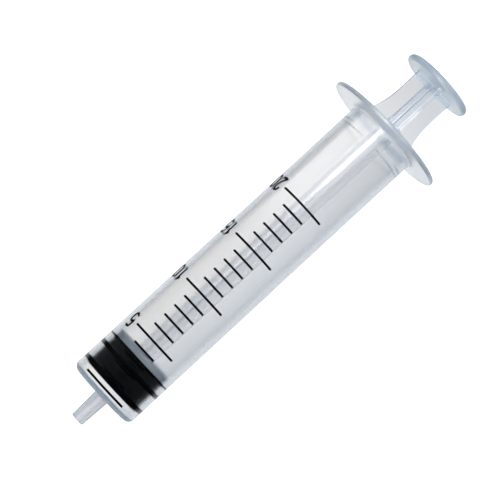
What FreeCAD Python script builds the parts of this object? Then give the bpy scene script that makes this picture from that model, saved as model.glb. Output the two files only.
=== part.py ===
"""Eccentric-tip syringe of 20 ml: barrel, gasket and plunger rod, in millimetres.

The syringe stands on its thumb rest. The origin is the centre of the thumb rest's outer
face and +Z runs up the barrel's axis to the nozzle. The printed side of the barrel faces
-Y, and the nozzle stands off the axis towards +Y, opposite the print.
"""
import FreeCAD, Part
import math
import os

import PartDesign
import Sketcher

DRIVING_SIZES = [
    ("bore_diameter", 19.1, "inside diameter of the barrel, 20 ml in 69.8 mm of travel"),
    ("wall_thickness", 1.1, "barrel wall"),
    ("barrel_length", 102.7, "back of the flange to the outer end face"),
    ("end_wall", 1.45, "thickness of the closed end"),
    ("end_rounding", 2.0, "outer corner of the closed end"),
    ("bore_end_chamfer", 0.25, "inner corner of the closed end"),
    ("flange_diameter", 36.8, "finger flange, a full circle with a crowned rim"),
    ("flange_thickness", 1.3, "thickness of the flange"),
    ("flange_crown", 0.8, "radius of the crowned rim's section"),
    ("flange_fillet", 0.9, "fillet between the flange and the barrel"),
    ("mouth_lead", 0.45, "widening of the bore at the open end"),
    ("mouth_depth", 1.6, "length of that widening"),
    ("stop_ring_height", 0.25, "ring inside the bore that keeps the gasket in"),
    ("stop_ring_width", 1.8, "length of the stop ring along the axis"),
    ("stop_ring_flat", 0.7, "flat top of the stop ring"),
    ("stop_ring_place", 5.9, "middle of the stop ring from the back of the flange"),
    ("nozzle_length", 9.35, "nozzle from the end face to its tip"),
    ("nozzle_tip_diameter", 4.0, "nozzle at its tip"),
    ("nozzle_taper", 0.06, "growth of the nozzle's diameter along its length"),
    ("nozzle_offset", 6.0, "nozzle axis from the barrel axis"),
    ("nozzle_bore", 2.1, "passage through the nozzle"),
    ("nozzle_foot", 0.3, "flare at the foot of the nozzle"),
    ("nozzle_tip_chamfer", 0.25, "chamfered edge of the nozzle's tip"),
    ("rest_gap", 2.2, "space between the gasket and the closed end, as photographed"),
    ("gasket_length", 10.3, "gasket, front face to rear edge"),
    ("seal_clearance", 0.04, "radial room between the seal rings and the bore"),
    ("waist_depth", 0.54, "depth of the gasket's waist below the seal rings"),
    ("front_ring_width", 1.64, "front seal ring"),
    ("rear_ring_width", 1.27, "rear seal ring"),
    ("rear_ring_place", 3.6, "middle of the rear seal ring from the gasket's rear edge"),
    ("ring_flank", 0.14, "slope of a seal ring's side"),
    ("face_chamfer", 0.35, "edge of the gasket's front face"),
    ("lip_chamfer", 0.2, "edge of the gasket's rear lip"),
    ("lip_drop", 0.1, "rear lip below the seal rings"),
    ("lip_length", 1.3, "length over which the rear lip flares out"),
    ("socket_wall", 1.9, "rubber behind the socket's shoulder"),
    ("head_clearance", 0.1, "room round the rod's head in the gasket's socket"),
    ("neck_diameter", 7.2, "neck between the rod's disc and its head"),
    ("head_diameter", 10.8, "head that snaps into the gasket"),
    ("head_nose_diameter", 7.0, "front of the head's cone"),
    ("head_edge", 1.3, "straight edge of the head"),
    ("head_cone", 2.6, "length of the head's cone"),
    ("seat_clearance", 0.05, "gap between the rod's disc and the gasket's rear edge"),
    ("disc_clearance", 0.65, "radial room between the bore and the disc that pushes the gasket"),
    ("disc_thickness", 1.5, "thickness of that disc"),
    ("rib_thickness", 1.4, "each of the rod's four ribs"),
    ("rib_clearance", 0.6, "radial room between the bore and the ribs"),
    ("grip_reach", 6.3, "rib from the axis to its edge behind the flange"),
    ("grip_blend", 28.0, "radius of the curve between the two rib widths"),
    ("grip_length", 7.2, "straight part of the narrow ribs"),
    ("rib_turn", 19.0, "turn of the ribs from the barrel's print, in degrees"),
    ("thumb_diameter", 21.5, "thumb rest"),
    ("thumb_thickness", 1.9, "thickness of the thumb rest"),
    ("thumb_crown", 1.15, "radius of the thumb rest's crowned rim"),
    ("grip_gap", 17.7, "thumb rest to the back of the flange, as photographed"),
    ("overlap", 0.3, "depth to which moulded features run into each other"),
]

# Radii that several pieces share, as formulas on the sheet.
BORE_RADIUS = "Sizes.bore_diameter / 2"
OUTER_RADIUS = "(Sizes.bore_diameter / 2 + Sizes.wall_thickness)"
SEAL_RADIUS = "(Sizes.bore_diameter / 2 - Sizes.seal_clearance)"
WAIST_RADIUS = "(Sizes.bore_diameter / 2 - Sizes.seal_clearance - Sizes.waist_depth)"
LIP_RADIUS = "(Sizes.bore_diameter / 2 - Sizes.seal_clearance - Sizes.lip_drop)"
DISC_RADIUS = "(Sizes.bore_diameter / 2 - Sizes.disc_clearance)"
RIB_REACH = "(Sizes.bore_diameter / 2 - Sizes.rib_clearance)"

# Where the flat faces of the flange and the thumb rest end and their crowned rims begin.
FLANGE_FACE = ("(Sizes.flange_diameter / 2 - Sizes.flange_crown"
               " + sqrt(Sizes.flange_crown^2 - Sizes.flange_thickness^2 / 4))")
THUMB_FACE = ("(Sizes.thumb_diameter / 2 - Sizes.thumb_crown"
              " + sqrt(Sizes.thumb_crown^2 - Sizes.thumb_thickness^2 / 4))")

# Heights over the floor. The barrel is placed at its flange's back face and the gasket at
# its rear edge, and the rod is as long as the two leave it.
FLANGE_BACK = "Sizes.thumb_thickness + Sizes.grip_gap"
GASKET_REAR = (FLANGE_BACK + " + Sizes.barrel_length - Sizes.end_wall - Sizes.rest_gap"
               " - Sizes.gasket_length")
DISC_FRONT = GASKET_REAR + " - Sizes.seat_clearance"
DISC_REAR = DISC_FRONT + " - Sizes.disc_thickness"

# Heights inside the gasket, from its rear edge.
SHOULDER = "Sizes.socket_wall"
HEAD_TOP = ("(Sizes.socket_wall + Sizes.head_edge + Sizes.head_cone"
            " + 2 * Sizes.head_clearance)")

ON_AXIS = "0"
NEAR = 1e-4


def make_sizes(doc):
    """Put the driving sizes on a sheet, one alias to a row."""
    sheet = doc.addObject("Spreadsheet::Sheet", "Sizes")
    for row, (alias, value, meaning) in enumerate(DRIVING_SIZES, start=1):
        sheet.set(f"A{row}", meaning)
        sheet.set(f"B{row}", str(value))
        sheet.setAlias(f"B{row}", alias)
    doc.recompute()
    return sheet


def value_of(doc, formula):
    """Return the number that a formula on the sheet gives now."""
    return float(doc.getObject("Sizes").evalExpression(formula))


def origin_plane(body, role):
    """Return one of a body's own base planes or axes by its role."""
    return next(item for item in body.Origin.OriginFeatures if item.Role == role)


def new_body(doc, name, height, turn="0"):
    """Make a body that stands at a height on the sheet and may be turned about +Z."""
    body = doc.addObject("PartDesign::Body", name)
    body.Label = name
    body.Placement.Rotation = FreeCAD.Rotation(FreeCAD.Vector(0, 0, 1), 0)
    body.setExpression("Placement.Base.z", height)
    body.setExpression("Placement.Rotation.Angle", turn)
    return body


def new_sketch(body, name, role):
    """Start a sketch on one of the body's base planes."""
    sketch = body.newObject("Sketcher::SketchObject", name)
    sketch.AttachmentSupport = (origin_plane(body, role), [""])
    sketch.MapMode = "FlatFace"
    return sketch


def bind(sketch, constraint, name, formula):
    """Add a dimension to a sketch and tie it to a formula on the sheet."""
    index = sketch.addConstraint(constraint)
    sketch.renameConstraint(index, name)
    sketch.setExpression(f"Constraints.{name}", formula)


def pin_point(sketch, line, end, name, across, along):
    """Hold one end of a line at two formulas, or on a sketch axis where one is zero."""
    for kind, axis, label, formula in (("DistanceX", -2, "x", across), ("DistanceY", -1, "y", along)):
        if formula == ON_AXIS:
            sketch.addConstraint(Sketcher.Constraint("PointOnObject", line, end, axis))
            continue
        size = value_of(sketch.Document, formula)
        held = Sketcher.Constraint(kind, -1, 1, line, end, size)
        bind(sketch, held, f"{name}_{label}", formula)


def crowned_edge(low, high, radius):
    """Return the shallow arc that bulges outwards from a low corner to one straight above."""
    half = (high - low).Length / 2
    sweep = math.asin(half / radius)
    inset = FreeCAD.Vector(math.sqrt(radius**2 - half**2), 0, 0)
    circle = Part.Circle((low + high) / 2 - inset, FreeCAD.Vector(0, 0, 1), radius)
    return Part.ArcOfCircle(circle, -sweep, sweep)


def closed_outline(sketch, corners, crowned_from=None, crown=None):
    """Draw a closed outline through named corners, straight but for one crowned rim.

    Each corner is its name and its two formulas, across and along the sketch. The rim
    starts at the corner that crowned_from names, ends at the next one, and has the radius
    that the crown formula gives.
    """
    doc = sketch.Document
    spots = [FreeCAD.Vector(value_of(doc, x), value_of(doc, y), 0) for _, x, y in corners]
    count = len(corners)
    for index, (name, _, _) in enumerate(corners):
        ends = (spots[index], spots[(index + 1) % count])
        if name == crowned_from:
            radius = value_of(doc, crown)
            sketch.addGeometry(crowned_edge(*ends, radius), False)
            bind(sketch, Sketcher.Constraint("Radius", index, radius), "crown", crown)
        else:
            sketch.addGeometry(Part.LineSegment(*ends), False)
    for index in range(count):
        following = (index + 1) % count
        sketch.addConstraint(Sketcher.Constraint("Coincident", index, 2, following, 1))
    for index, (name, across, along) in enumerate(corners):
        pin_point(sketch, index, 1, name, across, along)


def revolve(body, name, sketch, axis="V_Axis"):
    """Turn a sketch a full circle about one of its axes."""
    feature = body.newObject("PartDesign::Revolution", name)
    feature.Profile = sketch
    feature.ReferenceAxis = (sketch, [axis])
    feature.Angle = 360
    sketch.Document.recompute()
    return feature


def round_edge(base, radius, height):
    """Name the edge of a feature that runs round the axis at this radius and local height."""
    for number, edge in enumerate(base.Shape.Edges, start=1):
        curve = edge.Curve
        if not isinstance(curve, Part.Circle):
            continue
        gap = curve.Center - FreeCAD.Vector(0, 0, height)
        if gap.Length < NEAR and abs(curve.Radius - radius) < NEAR:
            return f"Edge{number}"
    raise RuntimeError(f"no round edge of radius {radius} at height {height}")


def fillet(body, name, base, edges, formula):
    """Round the named edges of a feature by a radius from the sheet."""
    feature = body.newObject("PartDesign::Fillet", name)
    feature.Base = (base, edges)
    feature.Radius = value_of(body.Document, formula)
    feature.setExpression("Radius", formula)
    body.Document.recompute()
    return feature


def barrel_wall_outline(body):
    """Draw half of the barrel's section: flange, wall, closed end, stop ring and mouth."""
    sketch = new_sketch(body, "barrel_section", "XZ_Plane")
    ring_low = "(Sizes.stop_ring_place - Sizes.stop_ring_width / 2)"
    ring_high = "(Sizes.stop_ring_place + Sizes.stop_ring_width / 2)"
    flat_low = "(Sizes.stop_ring_place - Sizes.stop_ring_flat / 2)"
    flat_high = "(Sizes.stop_ring_place + Sizes.stop_ring_flat / 2)"
    ring_radius = f"({BORE_RADIUS} - Sizes.stop_ring_height)"
    bore_end = "(Sizes.barrel_length - Sizes.end_wall)"
    closed_outline(sketch, [
        ("mouth_edge", f"({BORE_RADIUS} + Sizes.mouth_lead)", ON_AXIS),
        ("rim_back", FLANGE_FACE, ON_AXIS),
        ("rim_front", FLANGE_FACE, "Sizes.flange_thickness"),
        ("flange_foot", OUTER_RADIUS, "Sizes.flange_thickness"),
        ("end_corner", OUTER_RADIUS, "Sizes.barrel_length"),
        ("end_centre", ON_AXIS, "Sizes.barrel_length"),
        ("bore_centre", ON_AXIS, bore_end),
        ("bore_face_edge", f"({BORE_RADIUS} - Sizes.bore_end_chamfer)", bore_end),
        ("bore_corner", BORE_RADIUS, f"({bore_end} - Sizes.bore_end_chamfer)"),
        ("ring_top", BORE_RADIUS, ring_high),
        ("ring_flat_top", ring_radius, flat_high),
        ("ring_flat_foot", ring_radius, flat_low),
        ("ring_foot", BORE_RADIUS, ring_low),
        ("mouth_inner", BORE_RADIUS, "Sizes.mouth_depth"),
    ], crowned_from="rim_back", crown="Sizes.flange_crown")
    return sketch


def nozzle_outline(body):
    """Draw half of the nozzle's tapered section beside its own axis, off the barrel's."""
    sketch = new_sketch(body, "nozzle_section", "YZ_Plane")
    tip_radius = "Sizes.nozzle_tip_diameter / 2"
    foot_radius = f"({tip_radius} + Sizes.nozzle_length * Sizes.nozzle_taper / 2)"
    sunk = "(Sizes.barrel_length - Sizes.end_wall / 2)"
    tip = "(Sizes.barrel_length + Sizes.nozzle_length)"
    foot_side = f"(Sizes.nozzle_offset + {foot_radius})"
    flare_side = f"({foot_side} + Sizes.nozzle_foot)"
    tip_side = f"(Sizes.nozzle_offset + {tip_radius})"
    closed_outline(sketch, [
        ("core_foot", "Sizes.nozzle_offset", sunk),
        ("flare_sunk", flare_side, sunk),
        ("flare_low", flare_side, "Sizes.barrel_length"),
        ("flare_high", foot_side, "(Sizes.barrel_length + Sizes.nozzle_foot)"),
        ("side_tip", tip_side, f"({tip} - Sizes.nozzle_tip_chamfer)"),
        ("tip_edge", f"({tip_side} - Sizes.nozzle_tip_chamfer)", tip),
        ("core_tip", "Sizes.nozzle_offset", tip),
    ])
    core = len(sketch.Geometry) - 1
    ends = [sketch.Geometry[core].StartPoint, sketch.Geometry[core].EndPoint]
    axis = sketch.addGeometry(Part.LineSegment(*ends), True)
    sketch.addConstraint(Sketcher.Constraint("Coincident", axis, 1, core, 1))
    sketch.addConstraint(Sketcher.Constraint("Coincident", axis, 2, core, 2))
    return sketch


def bore_through_nozzle(body):
    """Cut the passage from the barrel's inside through the nozzle."""
    sketch = new_sketch(body, "passage_circle", "XY_Plane")
    offset = value_of(body.Document, "Sizes.nozzle_offset")
    radius = value_of(body.Document, "Sizes.nozzle_bore / 2")
    centre = FreeCAD.Vector(0, offset, 0)
    circle = sketch.addGeometry(Part.Circle(centre, FreeCAD.Vector(0, 0, 1), radius), False)
    sketch.addConstraint(Sketcher.Constraint("PointOnObject", circle, 3, -2))
    bind(sketch, Sketcher.Constraint("DistanceY", -1, 1, circle, 3, offset), "place",
         "Sizes.nozzle_offset")
    bind(sketch, Sketcher.Constraint("Radius", circle, radius), "passage",
         "Sizes.nozzle_bore / 2")
    solid_volume = body.Shape.Volume
    pocket = body.newObject("PartDesign::Pocket", "passage")
    pocket.Profile = sketch
    pocket.Type = "ThroughAll"
    pocket.Reversed = True
    body.Document.recompute()
    if body.Shape.Volume >= solid_volume:
        raise RuntimeError("the nozzle's passage cut nothing")
    return pocket


def make_barrel(doc):
    """Mould the barrel: one piece with its flange, closed end and eccentric nozzle."""
    body = new_body(doc, "barrel", FLANGE_BACK)
    wall = revolve(body, "barrel_wall", barrel_wall_outline(body))

    outer = value_of(doc, OUTER_RADIUS)
    foot = [round_edge(wall, outer, value_of(doc, "Sizes.flange_thickness"))]
    footed = fillet(body, "flange_foot_fillet", wall, foot, "Sizes.flange_fillet")
    corner = [round_edge(footed, outer, value_of(doc, "Sizes.barrel_length"))]
    fillet(body, "end_rounding", footed, corner, "Sizes.end_rounding")
    revolve(body, "nozzle", nozzle_outline(body), "Axis0")
    bore_through_nozzle(body)
    return body


def make_gasket(doc):
    """Mould the gasket: two seal rings, a waist, a rear lip and a socket for the rod."""
    body = new_body(doc, "gasket", GASKET_REAR)
    sketch = new_sketch(body, "gasket_section", "XZ_Plane")
    rear_low = "(Sizes.rear_ring_place - Sizes.rear_ring_width / 2)"
    rear_high = "(Sizes.rear_ring_place + Sizes.rear_ring_width / 2)"
    front_low = "(Sizes.gasket_length - Sizes.front_ring_width)"
    neck_radius = "(Sizes.neck_diameter / 2 + Sizes.head_clearance)"
    head_radius = "(Sizes.head_diameter / 2 + Sizes.head_clearance)"
    nose_radius = "(Sizes.head_nose_diameter / 2 + Sizes.head_clearance)"
    edge_top = "(Sizes.socket_wall + Sizes.head_edge + Sizes.head_clearance)"
    closed_outline(sketch, [
        ("neck_rear", neck_radius, ON_AXIS),
        ("lip_rear", f"({LIP_RADIUS} - Sizes.lip_chamfer)", ON_AXIS),
        ("lip_edge", LIP_RADIUS, "Sizes.lip_chamfer"),
        ("lip_foot", WAIST_RADIUS, "Sizes.lip_length"),
        ("rear_ring_start", WAIST_RADIUS, f"({rear_low} - Sizes.ring_flank)"),
        ("rear_ring_low", SEAL_RADIUS, rear_low),
        ("rear_ring_high", SEAL_RADIUS, rear_high),
        ("rear_ring_end", WAIST_RADIUS, f"({rear_high} + Sizes.ring_flank)"),
        ("front_ring_start", WAIST_RADIUS, f"({front_low} - Sizes.ring_flank)"),
        ("front_ring_low", SEAL_RADIUS, front_low),
        ("front_ring_high", SEAL_RADIUS, "(Sizes.gasket_length - Sizes.face_chamfer)"),
        ("face_edge", f"({SEAL_RADIUS} - Sizes.face_chamfer)", "Sizes.gasket_length"),
        ("face_centre", ON_AXIS, "Sizes.gasket_length"),
        ("socket_centre", ON_AXIS, HEAD_TOP),
        ("socket_nose", nose_radius, HEAD_TOP),
        ("socket_cone", head_radius, edge_top),
        ("socket_shoulder", head_radius, SHOULDER),
        ("neck_front", neck_radius, SHOULDER),
    ])
    revolve(body, "gasket_rubber", sketch)
    return body


def rib_outline(body):
    """Draw one rib of the rod: wide in the barrel, curved in to the narrow grip."""
    doc = body.Document
    sketch = new_sketch(body, "rib_side", "XZ_Plane")
    foot = "(Sizes.thumb_thickness - Sizes.overlap)"
    top = f"({DISC_REAR} + Sizes.overlap)"
    blend_start = "(Sizes.thumb_thickness + Sizes.grip_length)"
    grip = value_of(doc, "Sizes.grip_reach")
    reach = value_of(doc, RIB_REACH)
    radius = value_of(doc, "Sizes.grip_blend")
    z_foot = value_of(doc, foot)
    z_top = value_of(doc, top)
    z_start = value_of(doc, blend_start)
    sweep = math.acos(1 - (reach - grip) / radius)
    rise = radius * math.sin(sweep)
    centre = FreeCAD.Vector(grip + radius, z_start, 0)
    circle = Part.Circle(centre, FreeCAD.Vector(0, 0, 1), radius)
    spots = {"foot_axis": (0, z_foot), "foot_edge": (grip, z_foot), "start": (grip, z_start),
             "end": (reach, z_start + rise), "top_edge": (reach, z_top), "top_axis": (0, z_top)}
    at = {name: FreeCAD.Vector(x, z, 0) for name, (x, z) in spots.items()}
    sketch.addGeometry([
        Part.LineSegment(at["foot_axis"], at["foot_edge"]),
        Part.LineSegment(at["foot_edge"], at["start"]),
        Part.ArcOfCircle(circle, math.pi - sweep, math.pi),
        Part.LineSegment(at["end"], at["top_edge"]),
        Part.LineSegment(at["top_edge"], at["top_axis"]),
        Part.LineSegment(at["top_axis"], at["foot_axis"]),
    ], False)
    base, grip_side, blend, wide_side, lid, core = range(6)
    sketch.addConstraint([
        Sketcher.Constraint("Coincident", base, 2, grip_side, 1),
        Sketcher.Constraint("Tangent", grip_side, 2, blend, 2),
        Sketcher.Constraint("Coincident", blend, 1, wide_side, 1),
        Sketcher.Constraint("Coincident", wide_side, 2, lid, 1),
        Sketcher.Constraint("Coincident", lid, 2, core, 1),
        Sketcher.Constraint("Coincident", core, 2, base, 1),
        Sketcher.Constraint("Vertical", wide_side),
        Sketcher.Constraint("Vertical", grip_side),
    ])
    bind(sketch, Sketcher.Constraint("Radius", blend, radius), "blend", "Sizes.grip_blend")
    pin_point(sketch, base, 1, "foot_axis", ON_AXIS, foot)
    pin_point(sketch, grip_side, 1, "foot_edge", "Sizes.grip_reach", foot)
    bind(sketch, Sketcher.Constraint("DistanceY", -1, 1, grip_side, 2, z_start), "blend_start",
         blend_start)
    pin_point(sketch, lid, 1, "top_edge", RIB_REACH, top)
    pin_point(sketch, core, 1, "top_axis", ON_AXIS, top)
    return sketch


def make_rod(doc):
    """Mould the plunger rod: four ribs, thumb rest, pushing disc and snap-in head."""
    body = new_body(doc, "plunger_rod", "0", "-Sizes.rib_turn")

    thumb_sketch = new_sketch(body, "thumb_section", "XZ_Plane")
    closed_outline(thumb_sketch, [
        ("thumb_centre", ON_AXIS, ON_AXIS),
        ("thumb_outer", THUMB_FACE, ON_AXIS),
        ("thumb_inner", THUMB_FACE, "Sizes.thumb_thickness"),
        ("thumb_core", ON_AXIS, "Sizes.thumb_thickness"),
    ], crowned_from="thumb_outer", crown="Sizes.thumb_crown")
    revolve(body, "thumb_rest", thumb_sketch)

    rib = body.newObject("PartDesign::Pad", "rib")
    rib.Profile = rib_outline(body)
    rib.Midplane = True
    rib.setExpression("Length", "Sizes.rib_thickness")
    doc.recompute()
    ribs = body.newObject("PartDesign::PolarPattern", "ribs")
    ribs.Originals = [rib]
    ribs.Axis = (origin_plane(body, "Z_Axis"), [""])
    ribs.Angle = 360
    ribs.Occurrences = 4
    body.Tip = ribs
    doc.recompute()

    head_sketch = new_sketch(body, "head_section", "XZ_Plane")
    head_foot = f"({GASKET_REAR} + Sizes.socket_wall + Sizes.head_clearance)"
    head_edge = f"({head_foot} + Sizes.head_edge - Sizes.head_clearance)"
    head_top = f"({GASKET_REAR} + {HEAD_TOP} - Sizes.head_clearance)"
    closed_outline(head_sketch, [
        ("disc_core", ON_AXIS, f"({DISC_REAR})"),
        ("disc_rear", DISC_RADIUS, f"({DISC_REAR})"),
        ("disc_front", DISC_RADIUS, f"({DISC_FRONT})"),
        ("neck_foot", "Sizes.neck_diameter / 2", f"({DISC_FRONT})"),
        ("neck_top", "Sizes.neck_diameter / 2", head_foot),
        ("head_foot", "Sizes.head_diameter / 2", head_foot),
        ("head_shoulder", "Sizes.head_diameter / 2", head_edge),
        ("nose_edge", "Sizes.head_nose_diameter / 2", head_top),
        ("nose_centre", ON_AXIS, head_top),
    ])
    revolve(body, "snap_head", head_sketch)
    return body


def check_document(doc, bodies):
    """Stop if any object failed or any piece is not one valid solid."""
    for item in doc.Objects:
        faults = {"Invalid", "Error"} & set(item.State)
        if faults:
            raise RuntimeError(f"{item.Name} is {faults}")
    for body in bodies:
        shape = body.Shape
        if shape.isNull() or not shape.isValid() or len(shape.Solids) != 1:
            raise RuntimeError(f"{body.Label} is not one valid solid")


def main():
    """Build the syringe and write each piece to its own file."""
    doc = FreeCAD.newDocument("syringe")
    make_sizes(doc)
    bodies = [make_barrel(doc), make_gasket(doc), make_rod(doc)]
    doc.recompute()
    check_document(doc, bodies)
    os.makedirs("parts", exist_ok=True)
    for body in bodies:
        body.Shape.exportStep(f"parts/{body.Label}.step")
        box = body.Shape.BoundBox
        print(f"{body.Label}: {body.Shape.Volume:.1f} mm3, z {box.ZMin:.2f} to {box.ZMax:.2f}")


main()
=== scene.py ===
"""Looks of the eccentric-tip syringe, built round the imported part, in metres.

The syringe stands on its thumb rest with +Z up the barrel. The solids of the barrel, the
gasket and the plunger rod keep their own shapes and get finishes here. The printed scale
and the rubber that touches the barrel's wall are made here.
"""
import logging
import math
from dataclasses import dataclass, field
from enum import Enum

import bmesh
import bpy
from mathutils import Matrix, Vector


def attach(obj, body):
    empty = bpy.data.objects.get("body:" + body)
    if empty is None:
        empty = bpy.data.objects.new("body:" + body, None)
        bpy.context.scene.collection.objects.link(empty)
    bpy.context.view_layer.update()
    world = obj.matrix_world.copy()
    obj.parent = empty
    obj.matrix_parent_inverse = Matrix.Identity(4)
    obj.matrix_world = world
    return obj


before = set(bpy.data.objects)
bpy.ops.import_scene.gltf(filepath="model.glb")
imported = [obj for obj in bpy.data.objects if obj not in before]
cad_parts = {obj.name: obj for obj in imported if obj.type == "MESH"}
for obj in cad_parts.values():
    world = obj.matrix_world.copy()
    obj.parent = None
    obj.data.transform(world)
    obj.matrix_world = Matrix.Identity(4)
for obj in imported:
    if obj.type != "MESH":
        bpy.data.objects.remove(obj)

LOG = logging.getLogger("syringe")
MM = 0.001
NOISE_SPAN = (0.3, 0.7)     # where nearly all values of a noise texture lie


class Solid(Enum):
    """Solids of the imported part, by their nodes."""

    BARREL = "barrel"
    GASKET = "gasket"
    ROD = "plunger_rod"


class Body(Enum):
    """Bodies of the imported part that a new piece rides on."""

    BARREL = "barrel"
    GASKET = "gasket"


class Slot(Enum):
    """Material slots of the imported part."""

    GASKET = "gasket_rubber"


def srgb(code: str) -> tuple[float, float, float, float]:
    """Turn an sRGB hex colour into the linear colour that a shader takes.

    Args:
        code: Colour as "#RRGGBB".

    Returns:
        Linear red, green, blue and an alpha of 1.
    """
    parts = [int(code[i:i + 2], 16) / 255 for i in (1, 3, 5)]
    linear = [p / 12.92 if p <= 0.04045 else ((p + 0.055) / 1.055) ** 2.4 for p in parts]
    return (*linear, 1.0)


def add_node(tree: bpy.types.NodeTree, kind: str, inputs: dict | None = None,
             **settings: object) -> bpy.types.Node:
    """Add a node, set its properties and give each named input a value or a link.

    Args:
        tree: Node tree that gets the node.
        kind: Blender's type name of the node.
        inputs: Value or output socket for each input, by name or index.
        **settings: Properties of the node itself.

    Returns:
        The new node.
    """
    node = tree.nodes.new(kind)
    for name, value in settings.items():
        setattr(node, name, value)
    for key, value in (inputs or {}).items():
        if isinstance(value, bpy.types.NodeSocket):
            tree.links.new(value, node.inputs[key])
        else:
            node.inputs[key].default_value = value
    return node


def new_material(name: str) -> tuple[bpy.types.Material, bpy.types.NodeTree]:
    """Start an empty node material.

    Args:
        name: Name of the finish.

    Returns:
        The material and its node tree.
    """
    material = bpy.data.materials.new(name)
    material.use_nodes = True
    material.node_tree.nodes.clear()
    return material, material.node_tree


def finish_material(tree: bpy.types.NodeTree, shader: bpy.types.Node,
                    inside: bpy.types.Node | None = None) -> None:
    """Join a shader, and what fills the solid, to the output of its material.

    Args:
        tree: Node tree of the material.
        shader: Node whose first output is the surface shader.
        inside: Node whose first output is the volume shader, if there is one.
    """
    ends = {"Surface": shader.outputs[0]}
    if inside is not None:
        ends["Volume"] = inside.outputs[0]
    add_node(tree, "ShaderNodeOutputMaterial", ends)


def new_object(name: str, mesh: bpy.types.Mesh) -> bpy.types.Object:
    """Link a mesh to the scene as an object at the origin.

    Args:
        name: Name of the piece.
        mesh: Its mesh, already in place.

    Returns:
        The new object.
    """
    made = bpy.data.objects.new(name, mesh)
    bpy.context.scene.collection.objects.link(made)
    return made


def mesh_from(name: str, shape: bmesh.types.BMesh, smooth: bool = True) -> bpy.types.Mesh:
    """Turn a bmesh into a mesh with its faces pointing outwards.

    Args:
        name: Name of the mesh.
        shape: Closed shape, freed here.
        smooth: Whether its faces shade smoothly.

    Returns:
        The new mesh.
    """
    bmesh.ops.recalc_face_normals(shape, faces=shape.faces)
    for face in shape.faces:
        face.smooth = smooth
    mesh = bpy.data.meshes.new(name)
    shape.to_mesh(mesh)
    shape.free()
    return mesh


def dress(solid: Solid, material: bpy.types.Material) -> bpy.types.Object:
    """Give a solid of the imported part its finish.

    Args:
        solid: Which solid.
        material: Its finish.

    Returns:
        The solid's own object.
    """
    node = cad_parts[solid.value]
    node.material_slots[0].material = material
    return node


@dataclass(frozen=True)
class SkinZone:
    """A stretch of a moulding, by its heights in mm, where its skin's roughness differs and a
    tint is laid on; some of these tints are painted light and painted shade.
    """

    low_mm: float
    high_mm: float
    roughness: float
    tint: str
    blend_mm: float = 0.4

    def mask(self, tree: bpy.types.NodeTree,
             height: bpy.types.NodeSocket) -> bpy.types.NodeSocket:
        """Mark the zone in a material.

        Args:
            tree: Node tree of the material.
            height: Height along the barrel.

        Returns:
            Socket that is 1 inside the zone and 0 outside it.
        """
        rise = add_node(tree, "ShaderNodeMapRange", {
            "Value": height, "From Min": (self.low_mm - self.blend_mm) * MM,
            "From Max": self.low_mm * MM})
        fall = add_node(tree, "ShaderNodeMapRange", {
            "Value": height, "From Min": (self.high_mm + self.blend_mm) * MM,
            "From Max": self.high_mm * MM})
        return add_node(tree, "ShaderNodeMath", {0: rise.outputs[0], 1: fall.outputs[0]},
                        operation="MULTIPLY").outputs[0]


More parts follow.
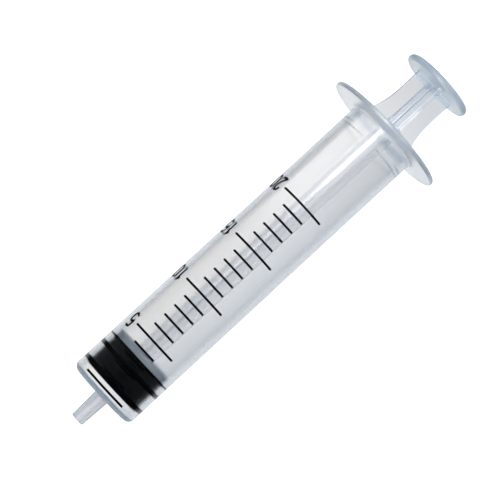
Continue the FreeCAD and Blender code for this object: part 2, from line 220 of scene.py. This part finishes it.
@dataclass(frozen=True)
class ClearPolypropylene:
    """Clear injection-moulded polypropylene: a faint cool haze under a glossy skin.

    The mould leaves the flange and the closed end softer. On top of that, a cool cast of light
    is painted on the flange and painted shade on the rounded edge of the closed end.
    """

    name: str = "clear_moulded_polypropylene"
    tint: str = "#FCFCFC"
    flow_tint: str = "#F8F9FA"
    transmission: float = 1.0
    ior: float = 1.49
    haze_low: float = 0.17
    haze_high: float = 0.21
    zones: tuple[SkinZone, ...] = (
        # flange: rougher skin, with a cool bluish cast of light painted into its tint
        SkinZone(-1.0, 20.95, 0.28, "#EEF4FA"),           # flange
        # rounded edge of the closed end: painted shade, a darker grey band
        SkinZone(121.0, 122.3, 0.42, "#CDD6DF"),          # rounded edge of the closed end
        SkinZone(122.7, 135.0, 0.5, "#F4F5F7"))           # nozzle
    depth_colour: str = "#B2BDC8"
    depth_per_metre: float = 14.0
    flow_mm: float = 9.0
    flow_stretch: float = 0.15
    ripple_mm: float = 6.0
    ripple_depth_mm: float = 0.0001

    def make(self) -> bpy.types.Material:
        """Build the material: flow streaks, faint moulding ripple, and zones of skin roughness
        with tints, some of them painted light and painted shade.

        Returns:
            The material.
        """
        material, tree = new_material(self.name)
        place = add_node(tree, "ShaderNodeTexCoord").outputs["Object"]
        drawn = add_node(tree, "ShaderNodeMapping", {
            "Vector": place, "Scale": (1, 1, self.flow_stretch)})
        flow = add_node(tree, "ShaderNodeTexNoise", {
            "Vector": drawn.outputs[0], "Scale": 1 / (self.flow_mm * MM), "Detail": 3.0})
        colour = add_node(tree, "ShaderNodeMix", {
            0: flow.outputs["Fac"], 6: srgb(self.tint), 7: srgb(self.flow_tint)},
            data_type="RGBA")
        haze = add_node(tree, "ShaderNodeMapRange", {
            "Value": flow.outputs["Fac"], "From Min": NOISE_SPAN[0],
            "From Max": NOISE_SPAN[1], "To Min": self.haze_low, "To Max": self.haze_high})
        height = add_node(tree, "ShaderNodeSeparateXYZ", {0: place}).outputs["Z"]
        rough, tone = haze.outputs[0], colour.outputs[2]
        # each zone sets its roughness and lays its tint on the colour; some tints are painted
        # light and shade
        for zone in self.zones:
            share = zone.mask(tree, height)
            rough = add_node(tree, "ShaderNodeMix", {
                0: share, 2: rough, 3: zone.roughness}, data_type="FLOAT").outputs[0]
            tone = add_node(tree, "ShaderNodeMix", {
                0: share, 6: tone, 7: srgb(zone.tint)}, data_type="RGBA").outputs[2]
        ripple = add_node(tree, "ShaderNodeTexNoise", {
            "Vector": drawn.outputs[0], "Scale": 1 / (self.ripple_mm * MM), "Detail": 1.0})
        bump = add_node(tree, "ShaderNodeBump", {
            "Height": ripple.outputs["Fac"], "Distance": self.ripple_depth_mm * MM})
        shader = add_node(tree, "ShaderNodeBsdfPrincipled", {
            "Base Color": tone, "Roughness": rough,
            "Transmission Weight": self.transmission, "IOR": self.ior,
            "Normal": bump.outputs[0]})
        depth = add_node(tree, "ShaderNodeVolumeAbsorption", {
            "Color": srgb(self.depth_colour), "Density": self.depth_per_metre})
        finish_material(tree, shader, depth)
        return material


@dataclass(frozen=True)
class MilkyPolypropylene(ClearPolypropylene):
    """Natural polypropylene in thick ribs: the same plastic, milky, with a cool cast of light
    painted on the grip and thumb rest and painted shade on the thumb rest's rim and the
    gasket's disc.
    """

    name: str = "milky_moulded_polypropylene"
    tint: str = "#F6F7F9"
    flow_tint: str = "#F1F3F6"
    zones: tuple[SkinZone, ...] = (
        # grip outside the barrel: glossier skin, with a cool bluish cast of light painted into
        # its tint
        SkinZone(-1.0, 19.0, 0.1, "#F0F4FA", 1.0),        # grip outside the barrel
        # thumb rest: a cool bluish cast of light painted into its tint
        SkinZone(-1.0, 1.95, 0.35, "#E8F1F8", 3.5),       # thumb rest
        # rim of the thumb rest: painted shade, a darker bluish grey band
        SkinZone(-1.0, 1.2, 0.35, "#CDD9E4", 0.5),        # rim of the thumb rest
        # disc that pushes the gasket: painted shade, darkened where the black rubber shades it
        SkinZone(106.4, 108.4, 0.35, "#A9B3BD"))          # disc that pushes the gasket
    transmission: float = 0.99
    haze_low: float = 0.07
    haze_high: float = 0.12
    depth_per_metre: float = 7.0


@dataclass(frozen=True)
class ButylRubber:
    """Moulded black butyl rubber with silicone oil: deep black under a soft wet sheen."""

    name: str = "oiled_black_butyl_rubber"
    deep: str = "#020305"
    worn: str = "#080C12"
    grain_mm: float = 0.5
    grain_depth_mm: float = 0.01
    grain_strength: float = 0.5
    rough_low: float = 0.38
    rough_high: float = 0.55
    ior: float = 1.52
    gloss: float = 0.02
    oil: float = 0.02
    oil_roughness: float = 0.18

    def make(self) -> bpy.types.Material:
        """Build the material with its fine grain and oily coat.

        Returns:
            The material.
        """
        material, tree = new_material(self.name)
        place = add_node(tree, "ShaderNodeTexCoord").outputs["Object"]
        grain = add_node(tree, "ShaderNodeTexNoise", {
            "Vector": place, "Scale": 1 / (self.grain_mm * MM), "Detail": 4.0})
        colour = add_node(tree, "ShaderNodeMix", {
            0: grain.outputs["Fac"], 6: srgb(self.deep), 7: srgb(self.worn)},
            data_type="RGBA")
        rough = add_node(tree, "ShaderNodeMapRange", {
            "Value": grain.outputs["Fac"], "From Min": NOISE_SPAN[0],
            "From Max": NOISE_SPAN[1], "To Min": self.rough_low, "To Max": self.rough_high})
        bump = add_node(tree, "ShaderNodeBump", {
            "Height": grain.outputs["Fac"], "Distance": self.grain_depth_mm * MM,
            "Strength": self.grain_strength})
        shader = add_node(tree, "ShaderNodeBsdfPrincipled", {
            "Base Color": colour.outputs[2], "Roughness": rough.outputs[0],
            "Coat Weight": self.oil, "Coat Roughness": self.oil_roughness,
            "IOR": self.ior, "Specular IOR Level": self.gloss, "Normal": bump.outputs[0]})
        finish_material(tree, shader)
        return material


@dataclass(frozen=True)
class ScreenInk:
    """Screen-printed black ink: a thin flat film, a touch uneven."""

    name: str = "black_screen_ink"
    dense: str = "#020203"
    thin: str = "#0A0B0D"
    mottle_mm: float = 0.35
    rough_low: float = 0.45
    rough_high: float = 0.65
    gloss: float = 0.05

    def make(self) -> bpy.types.Material:
        """Build the material with its mottled film.

        Returns:
            The material.
        """
        material, tree = new_material(self.name)
        place = add_node(tree, "ShaderNodeTexCoord").outputs["Object"]
        mottle = add_node(tree, "ShaderNodeTexNoise", {
            "Vector": place, "Scale": 1 / (self.mottle_mm * MM), "Detail": 2.0})
        colour = add_node(tree, "ShaderNodeMix", {
            0: mottle.outputs["Fac"], 6: srgb(self.dense), 7: srgb(self.thin)},
            data_type="RGBA")
        rough = add_node(tree, "ShaderNodeMapRange", {
            "Value": mottle.outputs["Fac"], "To Min": self.rough_low,
            "To Max": self.rough_high})
        shader = add_node(tree, "ShaderNodeBsdfPrincipled", {
            "Base Color": colour.outputs[2], "Roughness": rough.outputs[0],
            "Specular IOR Level": self.gloss})
        finish_material(tree, shader)
        return material


@dataclass(frozen=True)
class BenchPaper:
    """Matt white sweep paper under bright light: almost blown out to white."""

    name: str = "white_sweep_paper"
    white: str = "#F7F8F8"
    glow: float = 0.8
    roughness: float = 0.9
    fibre_mm: float = 1.5
    fibre_depth_mm: float = 0.02
    fibre_strength: float = 0.2

    def make(self) -> bpy.types.Material:
        """Build the material: a bright matt white with faint fibres.

        Returns:
            The material.
        """
        material, tree = new_material(self.name)
        place = add_node(tree, "ShaderNodeTexCoord").outputs["Object"]
        fibre = add_node(tree, "ShaderNodeTexNoise", {
            "Vector": place, "Scale": 1 / (self.fibre_mm * MM), "Detail": 3.0})
        bump = add_node(tree, "ShaderNodeBump", {
            "Height": fibre.outputs["Fac"], "Distance": self.fibre_depth_mm * MM,
            "Strength": self.fibre_strength})
        shader = add_node(tree, "ShaderNodeBsdfPrincipled", {
            "Base Color": srgb(self.white), "Roughness": self.roughness,
            "Emission Color": (1, 1, 1, 1), "Emission Strength": self.glow,
            "Normal": bump.outputs[0]})
        finish_material(tree, shader)
        return material


@dataclass(frozen=True)
class StrokeDigit:
    """A condensed digit by the centre line of its one stroke, in a box one unit across."""

    points: tuple[tuple[float, float], ...]
    closed: bool = False
    curved: bool = True
    steps: int = 6
    mitre_limit: float = 0.6

    def line(self, box: tuple[float, float]) -> list[Vector]:
        """Sample the centre line, rounded through its points where it is curved.

        Args:
            box: Width and height that the centre line fills.

        Returns:
            Points along the line.
        """
        given = [Vector((x * box[0], y * box[1])) for x, y in self.points]
        count = len(given)
        spans = count if self.closed else count - 1
        sampled = []
        for index in range(spans):
            places = [index + shift for shift in (-1, 0, 1, 2)]
            near = [given[place % count] if self.closed
                    else given[min(max(place, 0), count - 1)] for place in places]
            for step in range(self.steps):
                share = step / self.steps
                if not self.curved:
                    sampled.append(near[1].lerp(near[2], share))
                    continue
                sampled.append(0.5 * (
                    2 * near[1] + (near[2] - near[0]) * share
                    + (2 * near[0] - 5 * near[1] + 4 * near[2] - near[3]) * share ** 2
                    + (3 * near[1] - near[0] - 3 * near[2] + near[3]) * share ** 3))
        if not self.closed:
            sampled.append(given[-1])
        return sampled

    def edges(self, box: tuple[float, float],
              stroke: float) -> list[tuple[Vector, Vector]]:
        """Give the stroke its width, with mitred corners.

        Args:
            box: Width and height that the centre line fills.
            stroke: Width of the stroke.

        Returns:
            Left and right edge for each point of the line.
        """
        line = self.line(box)
        count = len(line)
        pairs = []
        for index, point in enumerate(line):
            before = line[index - 1] if index or self.closed else None
            after = line[(index + 1) % count] if index < count - 1 or self.closed else None
            ways = [(point - before).normalized() if before is not None else None,
                    (after - point).normalized() if after is not None else None]
            ways = [way for way in ways if way is not None]
            way = sum(ways, Vector((0.0, 0.0))).normalized()
            side = Vector((-way.y, way.x)) * stroke / 2
            side = side / max(way.dot(ways[0]), self.mitre_limit)
            pairs.append((point + side, point - side))
        return pairs


DIGITS = {
    "0": StrokeDigit(((0.0, 0.5), (0.42, 0.36), (0.5, 0.0), (0.42, -0.36), (0.0, -0.5),
                      (-0.42, -0.36), (-0.5, 0.0), (-0.42, 0.36)), closed=True),
    "1": StrokeDigit(((-0.3, 0.26), (0.12, 0.5), (0.12, -0.5)), curved=False),
    "2": StrokeDigit(((-0.48, 0.22), (-0.36, 0.43), (0.02, 0.5), (0.4, 0.4), (0.46, 0.16),
                      (0.2, -0.12), (-0.3, -0.38), (-0.5, -0.5), (0.5, -0.5))),
    "5": StrokeDigit(((0.46, 0.5), (-0.36, 0.5), (-0.46, 0.02), (-0.1, 0.12), (0.34, 0.06),
                      (0.5, -0.18), (0.36, -0.42), (0.0, -0.5), (-0.5, -0.38))),
}


@dataclass
class PrintedScale:
    """Black print on the barrel: a line for each millilitre, longer ones with numbers."""

    zero_height: float = 119.95 * MM
    spacing: float = 3.49 * MM
    count: int = 21
    numbered_every: int = 5
    wall_radius: float = 10.65 * MM
    sunk: float = 0.012 * MM
    film: float = 0.035 * MM
    stroke: float = 0.62 * MM
    long_half_span: float = math.radians(39.0)
    short_half_span: float = math.radians(19.7)
    arc_points: int = 49
    weld: float = 0.001 * MM
    facing: float = math.radians(-90.0)
    digit_stroke: float = 0.68 * MM
    digit_height: float = 4.85 * MM
    digit_width: float = 2.45 * MM
    digit_places: tuple[float, float] = (math.radians(52.5), math.radians(68.0))
    ink: ScreenInk = field(default_factory=ScreenInk)

    def line_tree(self, material: bpy.types.Material) -> tuple[bpy.types.NodeTree, dict]:
        """Build the Geometry Nodes tree that repeats the lines along the barrel.

        Args:
            material: Ink that the lines get.

        Returns:
            The tree and its input sockets by name.
        """
        tree = bpy.data.node_groups.new("graduation_lines", "GeometryNodeTree")
        tree.interface.new_socket("Geometry", in_out="OUTPUT", socket_type="NodeSocketGeometry")
        kinds = {
            "Line count": "NodeSocketInt", "Numbered every": "NodeSocketInt",
            "Zero height": "NodeSocketFloat", "Spacing": "NodeSocketFloat",
            "Radius": "NodeSocketFloat", "Film": "NodeSocketFloat",
            "Stroke": "NodeSocketFloat", "Facing": "NodeSocketFloat",
            "Long half span": "NodeSocketFloat", "Short half span": "NodeSocketFloat",
            "Arc points": "NodeSocketInt",
        }
        sockets = {name: tree.interface.new_socket(name, in_out="INPUT", socket_type=kind)
                   for name, kind in kinds.items()}
        given = add_node(tree, "NodeGroupInput").outputs
        step = add_node(tree, "ShaderNodeMath", {0: given["Spacing"], 1: -1.0},
                        operation="MULTIPLY")
        start = add_node(tree, "ShaderNodeCombineXYZ", {"Z": given["Zero height"]})
        offset = add_node(tree, "ShaderNodeCombineXYZ", {"Z": step.outputs[0]})
        spots = add_node(tree, "GeometryNodeMeshLine", {
            "Count": given["Line count"], "Start Location": start.outputs[0],
            "Offset": offset.outputs[0]}, mode="OFFSET")
        index = add_node(tree, "GeometryNodeInputIndex")
        left = add_node(tree, "ShaderNodeMath", {
            0: index.outputs[0], 1: given["Numbered every"]}, operation="MODULO")
        is_long = add_node(tree, "FunctionNodeCompare", {
            0: left.outputs[0], 1: 0.5}, data_type="FLOAT", operation="LESS_THAN")
        is_short = add_node(tree, "FunctionNodeBooleanMath", {0: is_long.outputs[0]},
                            operation="NOT")
        section = add_node(tree, "GeometryNodeCurvePrimitiveQuadrilateral", {
            "Width": given["Film"], "Height": given["Stroke"]}, mode="RECTANGLE")
        shapes = []
        for span, chosen in (("Long half span", is_long), ("Short half span", is_short)):
            begin = add_node(tree, "ShaderNodeMath", {0: given["Facing"], 1: given[span]},
                             operation="SUBTRACT")
            sweep = add_node(tree, "ShaderNodeMath", {0: given[span], 1: 2.0},
                             operation="MULTIPLY")
            arc = add_node(tree, "GeometryNodeCurveArc", {
                "Resolution": given["Arc points"], "Radius": given["Radius"],
                "Start Angle": begin.outputs[0], "Sweep Angle": sweep.outputs[0]},
                mode="RADIUS")
            upright = add_node(tree, "GeometryNodeSetCurveNormal", {
                "Curve": arc.outputs[0]}, mode="Z_UP")
            bar = add_node(tree, "GeometryNodeCurveToMesh", {
                "Curve": upright.outputs[0], "Profile Curve": section.outputs[0],
                "Fill Caps": True})
            shapes.append(add_node(tree, "GeometryNodeInstanceOnPoints", {
                "Points": spots.outputs[0], "Selection": chosen.outputs[0],
                "Instance": bar.outputs[0]}))
        joined = add_node(tree, "GeometryNodeJoinGeometry")
        for shape in shapes:
            tree.links.new(shape.outputs[0], joined.inputs[0])
        real = add_node(tree, "GeometryNodeRealizeInstances", {"Geometry": joined.outputs[0]})
        flat = add_node(tree, "GeometryNodeSetShadeSmooth", {
            "Geometry": real.outputs[0], "Shade Smooth": False})
        inked = add_node(tree, "GeometryNodeSetMaterial", {
            "Geometry": flat.outputs[0], "Material": material})
        add_node(tree, "NodeGroupOutput", {0: inked.outputs[0]})
        return tree, sockets

    def build_lines(self, material: bpy.types.Material) -> bpy.types.Object:
        """Make all the lines as one plain mesh.

        Args:
            material: Ink that the lines get.

        Returns:
            The piece, at the origin.
        """
        tree, sockets = self.line_tree(material)
        carrier = new_object("scale_lines_carrier", bpy.data.meshes.new("carrier"))
        modifier = carrier.modifiers.new("lines", "NODES")
        modifier.node_group = tree
        middle = self.wall_radius - self.sunk + self.film / 2
        values = {
            "Line count": self.count, "Numbered every": self.numbered_every,
            "Zero height": self.zero_height, "Spacing": self.spacing, "Radius": middle,
            "Film": self.film, "Stroke": self.stroke, "Facing": self.facing,
            "Long half span": self.long_half_span, "Short half span": self.short_half_span,
            "Arc points": self.arc_points,
        }
        for name, value in values.items():
            modifier[sockets[name].identifier] = value
        seen = bpy.context.evaluated_depsgraph_get()
        mesh = bpy.data.meshes.new_from_object(carrier.evaluated_get(seen))
        bpy.data.objects.remove(carrier)
        shape = bmesh.new()
        shape.from_mesh(mesh)
        bmesh.ops.remove_doubles(shape, verts=shape.verts, dist=self.weld)
        bmesh.ops.recalc_face_normals(shape, faces=shape.faces)
        shape.to_mesh(mesh)
        shape.free()
        return new_object("scale_lines", mesh)

    def wrap(self, across: float, along: float, angle: float, height: float,
             outer: bool) -> Vector:
        """Lay a flat point of a digit on the barrel's wall.

        Args:
            across: Distance along the wall from the digit's middle.
            along: Distance up the barrel from the digit's middle.
            angle: The digit's middle, from the side that faces the viewer.
            height: The digit's middle along the barrel.
            outer: Whether the point is on the film's outer face.

        Returns:
            Its place.
        """
        turn = self.facing + angle + across / self.wall_radius
        radius = self.wall_radius - self.sunk + (self.film if outer else 0.0)
        return Vector((radius * math.cos(turn), radius * math.sin(turn), height + along))

    def add_digit(self, whole: bmesh.types.BMesh, digit: StrokeDigit, angle: float,
                  height: float) -> None:
        """Add one digit to the print as a closed film of even stroke.

        Args:
            whole: Print that gets the digit.
            digit: Its centre line.
            angle: Its middle, from the side that faces the viewer.
            height: Its middle along the barrel.
        """
        box = (self.digit_width - self.digit_stroke, self.digit_height - self.digit_stroke)
        rows = []
        for left, right in digit.edges(box, self.digit_stroke):
            corners = ((left, True), (right, True), (right, False), (left, False))
            rows.append([whole.verts.new(self.wrap(*point, angle, height, outer))
                         for point, outer in corners])
        pairs = list(zip(rows, rows[1:]))
        if digit.closed:
            pairs.append((rows[-1], rows[0]))
        for first, second in pairs:
            for corner in range(4):
                after = (corner + 1) % 4
                whole.faces.new((first[corner], second[corner], second[after], first[after]))
        if not digit.closed:
            whole.faces.new(rows[0])
            whole.faces.new(rows[-1][::-1])

    def build_numbers(self, material: bpy.types.Material) -> bpy.types.Object:
        """Make the numbers beside the long lines as one mesh.

        Args:
            material: Ink that the numbers get.

        Returns:
            The piece, at the origin.
        """
        whole = bmesh.new()
        for value in range(self.numbered_every, self.count, self.numbered_every):
            height = self.zero_height - value * self.spacing
            for character, angle in zip(str(value), self.digit_places):
                self.add_digit(whole, DIGITS[character], angle, height)
        mesh = mesh_from("scale_numbers", whole, smooth=False)
        mesh.materials.append(material)
        return new_object("scale_numbers", mesh)

    def build(self) -> list[bpy.types.Object]:
        """Make the whole print and let it ride on the barrel.

        Returns:
            The pieces of the print.
        """
        material = self.ink.make()
        pieces = [self.build_lines(material), self.build_numbers(material)]
        for piece in pieces:
            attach(piece, Body.BARREL.value)
        return pieces


@dataclass
class Barrel:
    """Clear barrel with its flange and eccentric nozzle, and the print on it."""

    plastic: ClearPolypropylene = field(default_factory=ClearPolypropylene)
    scale: PrintedScale = field(default_factory=PrintedScale)

    def build(self) -> list[bpy.types.Object]:
        """Dress the barrel and print its scale.

        Returns:
            The barrel's pieces.
        """
        return [dress(Solid.BARREL, self.plastic.make()), *self.scale.build()]


@dataclass
class Gasket:
    """Rubber gasket, with the skin of its seal rings pressed against the wall."""

    bore_radius: float = 9.55 * MM
    press: float = 0.02 * MM
    depth: float = 0.3 * MM
    edge_width: float = 0.06 * MM
    edge_drop: float = 0.05 * MM
    rings: tuple[tuple[float, float], ...] = (
        (108.50 * MM, 108.95 * MM), (111.31 * MM, 112.59 * MM), (117.0 * MM, 118.32 * MM))
    segments: int = 128
    rubber: ButylRubber = field(default_factory=ButylRubber)

    def ring_section(self, low: float, high: float) -> list[tuple[float, float]]:
        """List the corners of a pressed ring's section, softened at its edges.

        Args:
            low: Lower edge of the ring along the barrel.
            high: Upper edge.

        Returns:
            Radius and height of each corner.
        """
        outer = self.bore_radius + self.press
        edge = outer - self.edge_drop
        inner = self.bore_radius - self.depth
        return [(inner, low), (edge, low), (outer, low + self.edge_width),
                (outer, high - self.edge_width), (edge, high), (inner, high)]

    def build_seal_skin(self, material: bpy.types.Material) -> bpy.types.Object:
        """Make the thin bands of rubber that the barrel's wall presses flat.

        Args:
            material: The rubber.

        Returns:
            The piece, riding on the gasket.
        """
        shape = bmesh.new()
        for low, high in self.rings:
            section = self.ring_section(low, high)
            loops = []
            for index in range(self.segments):
                turn = 2 * math.pi * index / self.segments
                loops.append([shape.verts.new((r * math.cos(turn), r * math.sin(turn), z))
                              for r, z in section])
            for index, loop in enumerate(loops):
                following = loops[(index + 1) % self.segments]
                for corner in range(len(section)):
                    after = (corner + 1) % len(section)
                    shape.faces.new((loop[corner], following[corner], following[after],
                                     loop[after]))
        mesh = mesh_from("seal_skin", shape)
        mesh.materials.append(material)
        piece = new_object("seal_skin", mesh)
        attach(piece, Body.GASKET.value)
        return piece

    def build(self) -> list[bpy.types.Object]:
        """Dress the gasket and add its pressed seal rings.

        Returns:
            The gasket's pieces.
        """
        material = self.rubber.make()
        return [dress(Solid.GASKET, material), self.build_seal_skin(material)]


@dataclass
class PlungerRod:
    """Ribbed plunger rod with its thumb rest."""

    plastic: MilkyPolypropylene = field(default_factory=MilkyPolypropylene)

    def build(self) -> list[bpy.types.Object]:
        """Dress the rod.

        Returns:
            The rod's pieces.
        """
        return [dress(Solid.ROD, self.plastic.make())]


@dataclass(frozen=True)
class SoftBox:
    """A rectangular lamp that only shows as a gleam on glossy faces."""

    name: str
    place: tuple[float, float, float]
    aim: tuple[float, float, float]
    size: tuple[float, float]
    radiance: float

    def build(self) -> None:
        """Make the lamp and hide it from all but the glossy faces."""
        data = bpy.data.lights.new(self.name, "AREA")
        data.shape = "RECTANGLE"
        data.size, data.size_y = self.size
        data.energy = self.radiance * math.pi * self.size[0] * self.size[1]
        lamp = bpy.data.objects.new(self.name, data)
        bpy.context.scene.collection.objects.link(lamp)
        lamp.location = self.place
        towards = Vector(self.aim) - Vector(self.place)
        lamp.rotation_mode = "QUATERNION"
        lamp.rotation_quaternion = towards.to_track_quat("-Z", "Y")
        lamp.visible_camera = False
        lamp.visible_transmission = False
        lamp.visible_diffuse = False


@dataclass
class Studio:
    """Bright sweep, soft room light, lamps and the camera at the photograph's angle.

    The room's light depends on the direction it comes from: X is left, Y is away from the
    viewer and Z is up the barrel. Each range gives the two values of one of them, or of its
    size without sign, between which a tone fades in.
    """

    camera_place: tuple[float, float, float] = (-0.042016, -0.533863, 0.098593)
    camera_right: tuple[float, float, float] = (-0.67882, 0.01255, -0.73419)
    camera_up: tuple[float, float, float] = (0.72981, -0.09892, -0.67646)
    lens_mm: float = 145.97
    sensor_mm: float = 36.0
    clip: tuple[float, float] = (0.01, 50.0)
    bounces: int = 80
    floor_size: float = 6.0
    floor_cells: int = 8
    floor_drop: float = 84.0 * MM
    backdrop: str = "#FFFFFF"
    room_strength: float = 1.34
    ceiling_strength: float = 1.7
    dark_front: str = "#08090B"
    warm_side: str = "#FFFBF6"
    cool_side: str = "#DEE4EA"
    edge_tone: str = "#D2D7DE"
    ceiling: str = "#DDE6EF"
    ground: str = "#AEB9C4"
    back_range: tuple[float, float] = (0.4, 0.75)         # Y: dark front to lit back
    low_range: tuple[float, float] = (-0.1, -0.28)        # Z: dark front to its lit foot
    warm_range: tuple[float, float] = (-0.12, 0.2)        # X: cool right to warm left
    middle_range: tuple[float, float] = (0.42, 0.26)      # X unsigned: edges to middle
    falloff_range: tuple[float, float] = (-0.25, 0.25)    # Z: span of the falloff
    ends_range: tuple[float, float] = (0.35, 0.85)        # Z unsigned: sides to both ends
    lid_range: tuple[float, float] = (-0.3, 0.3)          # Z: ground to ceiling
    # places and tones along the barrel, the ramp's own two ends first
    falloff: tuple[tuple[float, float], ...] = (
        (0.0, 0.58), (1.0, 1.0), (0.17, 0.62), (0.26, 0.95), (0.36, 1.0),
        (0.52, 0.92), (0.64, 0.8), (0.78, 1.0))
    paper: BenchPaper = field(default_factory=BenchPaper)
    # a soft sheen from the left, then the bright streak below the flange, its tail and glow
    lamps: tuple[SoftBox, ...] = (
        SoftBox("left_panel", (0.25, -0.16, -0.012), (0.0, 0.0, 0.03), (0.36, 0.09), 5.0),
        SoftBox("streak_strip", (0.0068, -0.062, 0.0215), (0.0, 0.0, 0.03),
                (0.0105, 0.03), 24.0),
        SoftBox("streak_tail", (0.0068, -0.062, 0.058), (0.0, 0.0, 0.062),
                (0.006, 0.046), 7.5),
        SoftBox("streak_glow", (0.01, -0.066, 0.024), (0.0, 0.0, 0.03), (0.05, 0.05), 4.6),
    )

    def build_camera(self) -> None:
        """Place the camera at the photograph's viewing angle."""
        data = bpy.data.cameras.new("photo_camera")
        data.lens = self.lens_mm
        data.sensor_width = self.sensor_mm
        data.clip_start, data.clip_end = self.clip
        camera = bpy.data.objects.new("photo_camera", data)
        right = Vector(self.camera_right).normalized()
        up = Vector(self.camera_up)
        up = (up - right * up.dot(right)).normalized()
        back = right.cross(up)
        turn = Matrix((right, up, back)).transposed()
        camera.matrix_world = Matrix.Translation(self.camera_place) @ turn.to_4x4()
        bpy.context.scene.collection.objects.link(camera)
        bpy.context.scene.camera = camera

    def build_floor(self) -> None:
        """Lay the pale floor just below the thumb rest of the fully drawn plunger."""
        shape = bmesh.new()
        bmesh.ops.create_grid(shape, x_segments=self.floor_cells,
                              y_segments=self.floor_cells, size=self.floor_size / 2)
        bmesh.ops.translate(shape, verts=shape.verts, vec=(0, 0, -self.floor_drop))
        mesh = bpy.data.meshes.new("sweep_floor")
        shape.to_mesh(mesh)
        shape.free()
        mesh.materials.append(self.paper.make())
        floor = new_object("sweep_floor", mesh)
        floor.visible_transmission = False
        floor.visible_glossy = False
        floor.visible_diffuse = False

    def build_world(self) -> None:
        """Fill the room with soft light.

        It is bright behind the syringe and low in front, warmer on the left, greyer towards
        both sides, and varied along the barrel. Above and below lie a ceiling and a ground.
        """
        world = bpy.data.worlds.new("soft_room")
        world.use_nodes = True
        tree = world.node_tree
        tree.nodes.clear()
        towards = add_node(tree, "ShaderNodeTexCoord").outputs["Generated"]
        parts = add_node(tree, "ShaderNodeSeparateXYZ", {0: towards}).outputs
        aside, along = (add_node(tree, "ShaderNodeMath", {0: parts[axis]},
                                 operation="ABSOLUTE").outputs[0] for axis in ("X", "Z"))
        back, low, warm, middle, ends = (
            add_node(tree, "ShaderNodeMapRange", {
                "Value": value, "From Min": start, "From Max": stop},
                interpolation_type="SMOOTHSTEP").outputs[0]
            for value, (start, stop) in (
                (parts["Y"], self.back_range), (parts["Z"], self.low_range),
                (parts["X"], self.warm_range), (aside, self.middle_range),
                (along, self.ends_range)))
        height, upward = (
            add_node(tree, "ShaderNodeMapRange", {
                "Value": parts["Z"], "From Min": start, "From Max": stop}).outputs[0]
            for start, stop in (self.falloff_range, self.lid_range))
        fall = add_node(tree, "ShaderNodeValToRGB", {"Fac": height})
        fall.color_ramp.interpolation = "B_SPLINE"
        for step, (place, value) in enumerate(self.falloff):
            stops = fall.color_ramp.elements
            stop = stops[step] if step < 2 else stops.new(place)
            stop.position = place
            stop.color = (value, value, value, 1.0)
        side = add_node(tree, "ShaderNodeMix", {
            0: warm, 6: srgb(self.cool_side), 7: srgb(self.warm_side)}, data_type="RGBA")
        tone = add_node(tree, "ShaderNodeMix", {
            0: 1.0, 6: side.outputs[2], 7: fall.outputs[0]},
            data_type="RGBA", blend_type="MULTIPLY")
        lit = add_node(tree, "ShaderNodeMath", {0: back, 1: low}, operation="MAXIMUM")
        lid = add_node(tree, "ShaderNodeMix", {
            0: upward, 6: srgb(self.ground), 7: srgb(self.ceiling)}, data_type="RGBA")
        seen = add_node(tree, "ShaderNodeLightPath").outputs["Is Camera Ray"]
        behind = add_node(tree, "ShaderNodeMix", {
            0: middle, 6: srgb(self.edge_tone), 7: tone.outputs[2]}, data_type="RGBA")
        axis = add_node(tree, "ShaderNodeMix", {
            0: lit.outputs[0], 6: srgb(self.dark_front), 7: behind.outputs[2]},
            data_type="RGBA")
        room = add_node(tree, "ShaderNodeMix", {
            0: ends, 6: axis.outputs[2], 7: lid.outputs[2]}, data_type="RGBA")
        colour = add_node(tree, "ShaderNodeMix", {
            0: seen, 6: room.outputs[2], 7: srgb(self.backdrop)}, data_type="RGBA")
        power = add_node(tree, "ShaderNodeMapRange", {
            "Value": parts["Z"], "From Min": self.ends_range[0],
            "From Max": self.ends_range[1], "To Min": self.room_strength,
            "To Max": self.ceiling_strength})
        light = add_node(tree, "ShaderNodeBackground", {
            "Color": colour.outputs[2], "Strength": power.outputs[0]})
        add_node(tree, "ShaderNodeOutputWorld", {"Surface": light.outputs[0]})
        bpy.context.scene.world = world

    def build(self) -> None:
        """Set up the whole studio."""
        bpy.context.scene.view_settings.view_transform = "Standard"
        cycles = bpy.context.scene.cycles
        cycles.max_bounces = self.bounces
        cycles.transmission_bounces = cycles.glossy_bounces = self.bounces
        self.build_camera()
        self.build_floor()
        self.build_world()
        for lamp in self.lamps:
            lamp.build()


def main() -> None:
    """Build the studio and dress every piece of the syringe."""
    logging.basicConfig(level=logging.INFO, format="%(name)s: %(message)s")
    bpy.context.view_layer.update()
    Studio().build()
    for assembly in (Barrel(), Gasket(), PlungerRod()):
        for piece in assembly.build():
            LOG.info("%s: %s, %d faces", type(assembly).__name__, piece.name,
                     len(piece.data.polygons))


if __name__ == "__main__":
    main()
